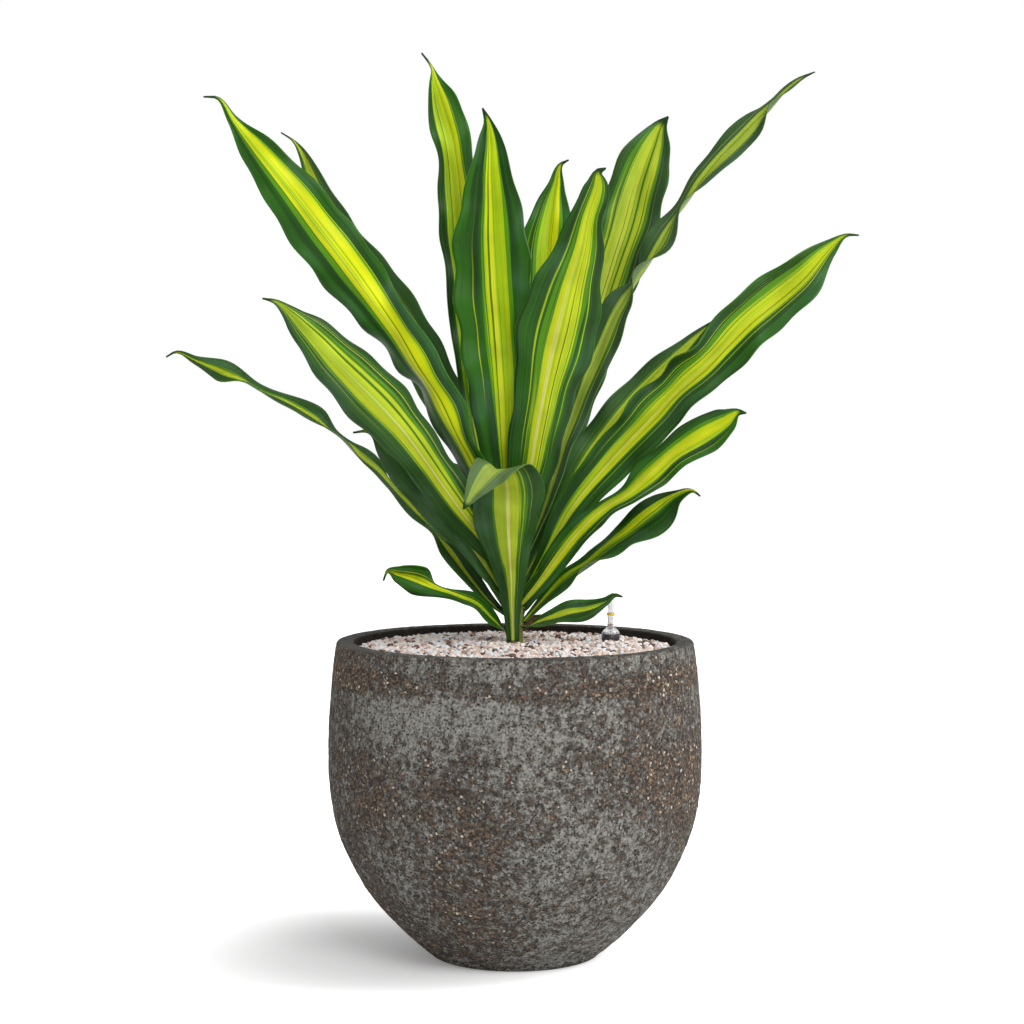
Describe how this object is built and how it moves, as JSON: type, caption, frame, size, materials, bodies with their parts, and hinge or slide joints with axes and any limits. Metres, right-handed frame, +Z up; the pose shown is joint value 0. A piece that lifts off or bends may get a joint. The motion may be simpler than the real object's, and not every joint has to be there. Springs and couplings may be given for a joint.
{
  "type": "potted dracaena",
  "caption": "Variegated strap-leaved house plant in a round tapered cement planter, with gravel topping and a float water level gauge.",
  "frame": {"origin": "centre of the planter's flat base, on the surface it stands on", "axes": "+Z up along the planter's axis; -Y faces the viewer of the plant's front; +X to that viewer's right"},
  "size_m": [0.6854, 0.3826, 0.9103],
  "materials": {
    "cement": "rough grey cement with brown patches, sand grains and small pits; smoother rim",
    "granules": null,
    "gravel": "small angular cream, pink and white stones with dark ones between",
    "cane": "green-brown ringed cane",
    "leaf": "satin leaf, lime and yellow centre band with dark green margins",
    "dried_leaf": "dry brown leaf remnant",
    "gauge_dark": "dark aubergine plastic, satin",
    "gauge_clear": "clear plastic",
    "gauge_yellow": "yellow plastic ring",
    "gauge_red": "red plastic pointer",
    "gauge_rod": "pale plastic rod",
    "gauge_foam": "closed foam float"
  },
  "bodies": {
    "plant": {"planter": "cement", "growing_medium": "granules", "gravel_topping": "gravel", "stem": "cane", "gauge_body": "gauge_dark", "gauge_shoulder": "gauge_clear", "gauge_sight_tube": "gauge_clear", "gauge_cap": "gauge_clear", "gauge_mark": "gauge_yellow", "leaf_front_folded": "leaf", "leaf_left_low": "leaf", "leaf_right_low": "leaf", "leaf_right_second": "leaf", "leaf_left_twisted": "leaf", "leaf_right_young": "leaf", "leaf_right_third": "leaf", "leaf_left_third": "leaf", "leaf_right_long": "leaf", "leaf_right_back": "leaf", "leaf_left_broad": "leaf", "leaf_left_long": "leaf", "leaf_right_twisted": "leaf", "leaf_back_short": "leaf", "leaf_back_left": "leaf", "leaf_back_right": "leaf", "leaf_front_right": "leaf", "leaf_tall_left": "leaf", "leaf_back_centre": "leaf", "leaf_centre_tall": "leaf", "leaf_dried": "dried_leaf", "leaf_back_low": "leaf", "leaf_back_spread_left": "leaf", "leaf_back_spread_right": "leaf", "leaf_back_arching": "leaf"},
    "float": {"gauge_float": "gauge_foam", "gauge_rod": "gauge_rod", "gauge_pointer": "gauge_red"}
  },
  "joints": [
    {"name": "float_rise", "type": "slide", "parent": "plant", "child": "float", "axis": [0, 0, 1], "range_m": [0, 0.026]}
  ]
}
